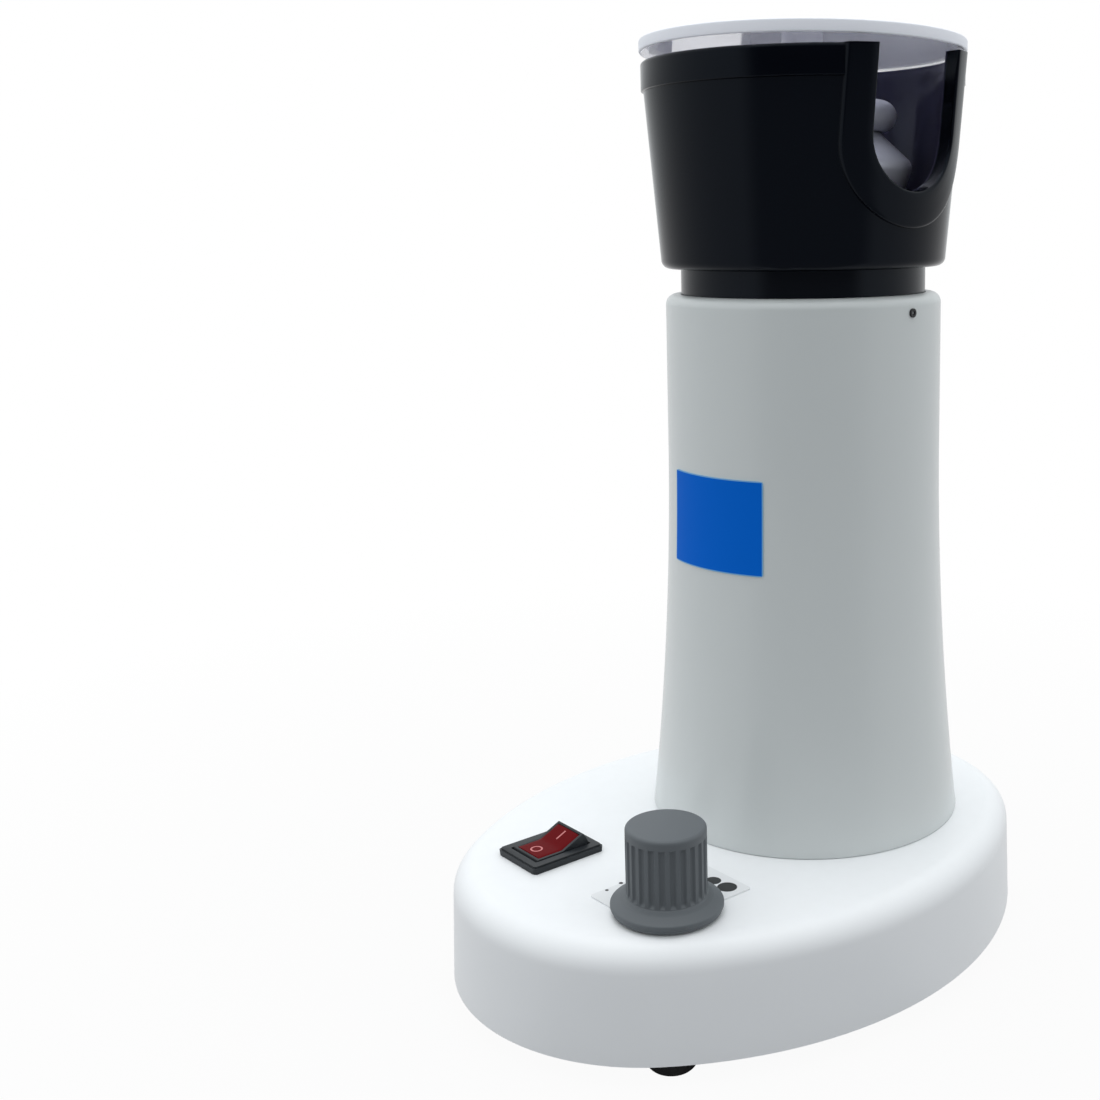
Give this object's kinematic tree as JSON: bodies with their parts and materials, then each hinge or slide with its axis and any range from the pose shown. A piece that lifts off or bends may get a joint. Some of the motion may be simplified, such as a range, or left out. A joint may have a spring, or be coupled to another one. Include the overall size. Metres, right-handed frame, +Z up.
{
  "type": "eyeglass frame warmer",
  "caption": "Counter-top hot-air eyeglass frame warmer: a flared column on an oval stand carries a notched black cup with a lift-off lid; rocker switch and knob.",
  "frame": {"origin": "centre of the stand's footprint, on the table under the rubber feet", "axes": "+Z up; -Y is the front, with the switch and the knob; +X is the user's right"},
  "size_m": [0.162, 0.218, 0.313],
  "materials": {
    "stand_white": "satin gloss",
    "plate_grey": "matt",
    "foot_rubber": "matt",
    "zinc_screw": "satin",
    "black_nylon": "matt",
    "column_silver": "satin",
    "panel_blue": "satin",
    "neck_dark": "satin",
    "cup_black": "gloss",
    "guard_wire": "satin",
    "spun_aluminium": "satin, heat-darkened",
    "lid_clear": "clear gloss",
    "heater_steel": "satin",
    "mica": "satin",
    "heating_wire": "oxidised",
    "cutout_metal": "satin",
    "fan_black": "matt",
    "switch_black": "matt",
    "lens_red": "gloss",
    "brass_tag": "satin",
    "scale_white": "satin",
    "knob_grey": "matt",
    "shaft_steel": "satin",
    "pot_grey": "matt",
    "board_green": "satin",
    "core_steel": "satin",
    "winding_tape": "satin",
    "epoxy_black": "matt",
    "sink_aluminium": "satin",
    "cap_blue": "gloss",
    "block_green": "matt"
  },
  "bodies": {
    "stand": {"base_housing": "stand_white", "base_plate": "plate_grey", "rubber_feet": "foot_rubber", "foot_screws": "zinc_screw", "cord_gland": "black_nylon", "gland_nut": "black_nylon", "column": "column_silver", "column_screws": "zinc_screw", "front_panel": "panel_blue", "cup_neck": "neck_dark", "neck_screws": "zinc_screw", "heat_cup": "cup_black", "outlet_guard": "guard_wire", "guard_screws": "zinc_screw", "deflector_spacer": "spun_aluminium", "deflector_bell": "spun_aluminium", "deflector_cap": "spun_aluminium", "deflector_stud": "zinc_screw", "deflector_nut": "zinc_screw", "heater_tube": "heater_steel", "heater_screws": "zinc_screw", "mica_board_long": "mica", "mica_board_cross": "mica", "heating_coil": "heating_wire", "thermal_cutout": "cutout_metal", "fan_frame": "fan_black", "fan_screws": "zinc_screw", "switch_housing": "switch_black", "switch_terminals": "brass_tag", "scale_plate": "scale_white", "pot_body": "pot_grey", "pot_washer": "zinc_screw", "pot_nut": "brass_tag", "control_board": "board_green", "board_screws": "zinc_screw", "transformer_core": "core_steel", "transformer_winding": "winding_tape", "triac": "epoxy_black", "heatsink": "sink_aluminium", "capacitors": "cap_blue", "terminal_block": "block_green"},
    "lid": {"lid": "lid_clear", "lid_hub": "spun_aluminium"},
    "rocker": {"switch_rocker": "switch_black", "rocker_lens": "lens_red"},
    "knob": {"knob": "knob_grey", "pot_shaft": "shaft_steel"},
    "rotor": {"fan_rotor": "fan_black"}
  },
  "joints": [
    {"name": "lid_lift", "type": "slide", "parent": "stand", "child": "lid", "axis": [0, 0, 1], "range_m": [0, 0.08]},
    {"name": "rocker_tilt", "type": "hinge", "parent": "stand", "child": "rocker", "pos_m": [-0.0222, -0.0675, 0.0416], "axis": [-1, 0, 0], "range_deg": [0, 20]},
    {"name": "knob_turn", "type": "hinge", "parent": "stand", "child": "knob", "pos_m": [0.0357, -0.0642, 0.0476], "axis": [0, 0, -1], "range_deg": [0, 280]},
    {"name": "fan_spin", "type": "hinge", "parent": "stand", "child": "rotor", "pos_m": [0, 0.03, 0.0276], "axis": [0, 0, 1], "continuous": true}
  ]
}
